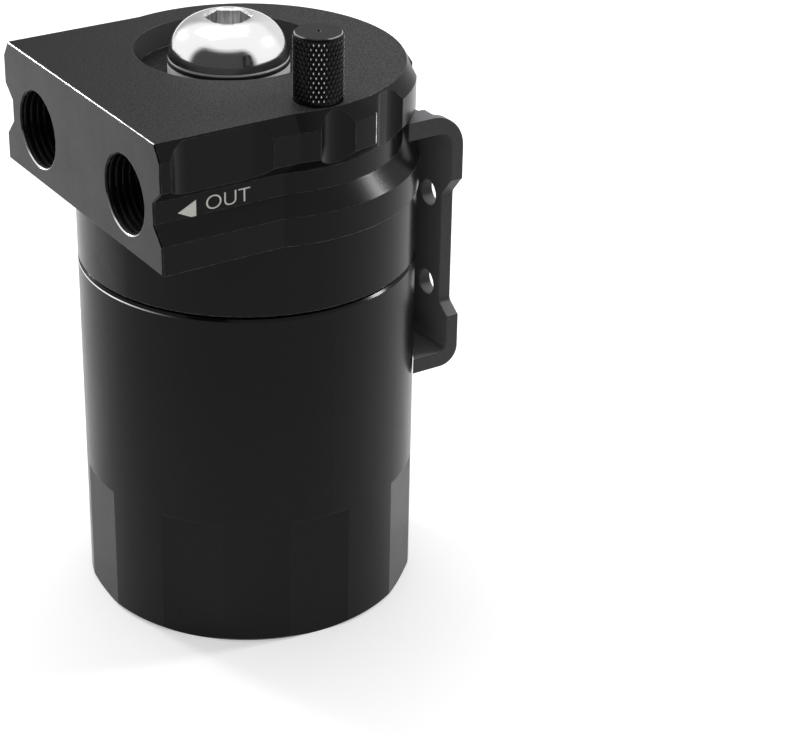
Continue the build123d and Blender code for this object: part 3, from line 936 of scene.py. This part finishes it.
def make_knob():
    low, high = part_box("dipstick_knob")
    centre = (low + high) / 2
    knob_r = (high.x - low.x) / 2
    diamonds = 30
    rows = 8
    crest = knob_r + knurl_swell
    valley = knob_r - 0.14 * MM
    rim_r = knob_r - 0.05 * MM
    tip_round = 0.20 * MM
    seam_weld = 1e-6
    dimple = 0.5 * MM
    dimple_point = 0.1 * MM
    knurl_low = high.z - 14.85 * MM
    knurl_high = high.z - knob_bevel
    foot_low = high.z - 16.3 * MM
    foot_inset = 0.25 * MM
    foot_r = knob_r - foot_inset
    core_r = 2.55 * MM
    crest_r = 2.95 * MM
    pitch = 1.0 * MM
    tip_bevel = 0.4 * MM
    thread_inset = 0.5 * MM
    thread_relief = 1.4 * MM
    bm = bmesh.new()
    columns = 2 * diamonds
    levels = 2 * rows
    bmesh.ops.create_grid(bm, x_segments=columns, y_segments=levels, size=0.5)
    level_height = (knurl_high - knurl_low) / levels
    # Inside its seat the knurl keeps to the blank's size, and it swells one level above the head's top
    swell_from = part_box("head")[1].z + level_height
    valleys = []
    for v in bm.verts:
        column = round((v.co.x + 0.5) * columns)
        level = round((v.co.y + 0.5) * levels)
        z = knurl_low + level_height * level
        if (column + level) % 2:
            valleys.append(v)
        if level in (0, levels):
            radius = rim_r
        elif (column + level) % 2:
            radius = valley
        else:
            radius = crest if z > swell_from else knob_r
        turn = 2 * pi * column / columns
        v.co = (centre.x + radius * cos(turn), centre.y + radius * sin(turn), z)
    bmesh.ops.connect_verts(bm, verts=valleys)
    bmesh.ops.remove_doubles(bm, verts=bm.verts, dist=seam_weld)
    peaks = [v for v in bm.verts if (v.co - centre).xy.length > 0.5 * (rim_r + knob_r)]
    bmesh.ops.bevel(
        bm, geom=peaks, offset=tip_round, segments=2, profile=0.5,
        affect="VERTICES", clamp_overlap=True, material=-1,
    )
    top = [(rim_r - 0.7 * knob_bevel, high.z), (dimple, high.z), (dimple_point, high.z - dimple)]
    pull_rim(bm, knurl_high, top, centre)
    shank = [(foot_r, knurl_low - foot_inset), (foot_r, foot_low), (core_r, foot_low)]
    shank += [(core_r, low.z + tip_bevel), (core_r - tip_bevel, low.z)]
    pull_rim(bm, knurl_low, shank, centre)
    start = Vector((centre.x, centre.y, low.z + thread_inset))
    length = foot_low - start.z - thread_relief
    thread_ridge(bm, start, (0, 0, 1), core_r - ridge_sunk, crest_r, pitch, length)
    knob = new_piece(bm, "knurled_knob", knob_finish, "dipstick", sharp=48.0)
    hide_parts("dipstick_knob")


make_knob()


# %% [markdown]
# ## The flow mark
# A pale arrow and a plain word beside the outlet say which way the gas leaves. They are printed on the flat
# side of the head, so they are a thin skin on that face. The word comes from Blender's own font.

# %% Flow mark
def make_flow_mark():
    face_x = 29.75 * MM
    print_thickness = 0.05 * MM
    arrow_tip = (-31.3 * MM, 98.68 * MM)
    arrow_base = -27.5 * MM
    arrow_half = 1.85 * MM
    word_start = -25.4 * MM
    word_foot = 97.95 * MM
    word_length = 9.3 * MM
    word_height = 2.75 * MM
    letter_depth = 0.02
    letter_trim = -0.012
    print_sunk = 0.3
    material, tree, shader = new_finish("pale_print", (0.80, 0.79, 0.74), 0.55)
    grain = use(tree, blast_grain, Grains_per_metre=5000.0)
    tone = mix_colour(tree, grain["Speckle"], (0.66, 0.65, 0.60, 1.0), (0.84, 0.83, 0.78, 1.0))
    tree.links.new(tone, shader.inputs["Base Color"])
    bm = bmesh.new()
    corners = [arrow_tip, (arrow_base, arrow_tip[1] - arrow_half), (arrow_base, arrow_tip[1] + arrow_half)]
    face = bm.faces.new([bm.verts.new((face_x, y, z)) for y, z in corners])
    made = bmesh.ops.extrude_face_region(bm, geom=[face], use_keep_orig=True)["geom"]
    raised = [v for v in made if isinstance(v, bmesh.types.BMVert)]
    bmesh.ops.translate(bm, verts=raised, vec=(print_thickness, 0, 0))
    new_piece(bm, "flow_arrow", material, "head")
    text = bpy.data.curves.new("outlet_word", "FONT")
    text.body = "OUT"
    text.extrude = letter_depth
    text.offset = letter_trim
    holder = bpy.data.objects.new("outlet_word_text", text)
    bpy.context.scene.collection.objects.link(holder)
    bpy.context.view_layer.update()
    shape = bpy.data.meshes.new_from_object(holder.evaluated_get(bpy.context.evaluated_depsgraph_get()))
    bpy.data.objects.remove(holder)
    bm = bmesh.new()
    bm.from_mesh(shape)
    bpy.data.meshes.remove(shape)
    low = Vector([min(v.co[i] for v in bm.verts) for i in range(3)])
    high = Vector([max(v.co[i] for v in bm.verts) for i in range(3)])
    for v in bm.verts:
        share = [(v.co[i] - low[i]) / (high[i] - low[i]) for i in range(3)]
        x = face_x + print_thickness * (share[2] - print_sunk)
        v.co = (x, word_start + word_length * share[0], word_foot + word_height * share[1])
    new_piece(bm, "outlet_word", material, "head")


make_flow_mark()
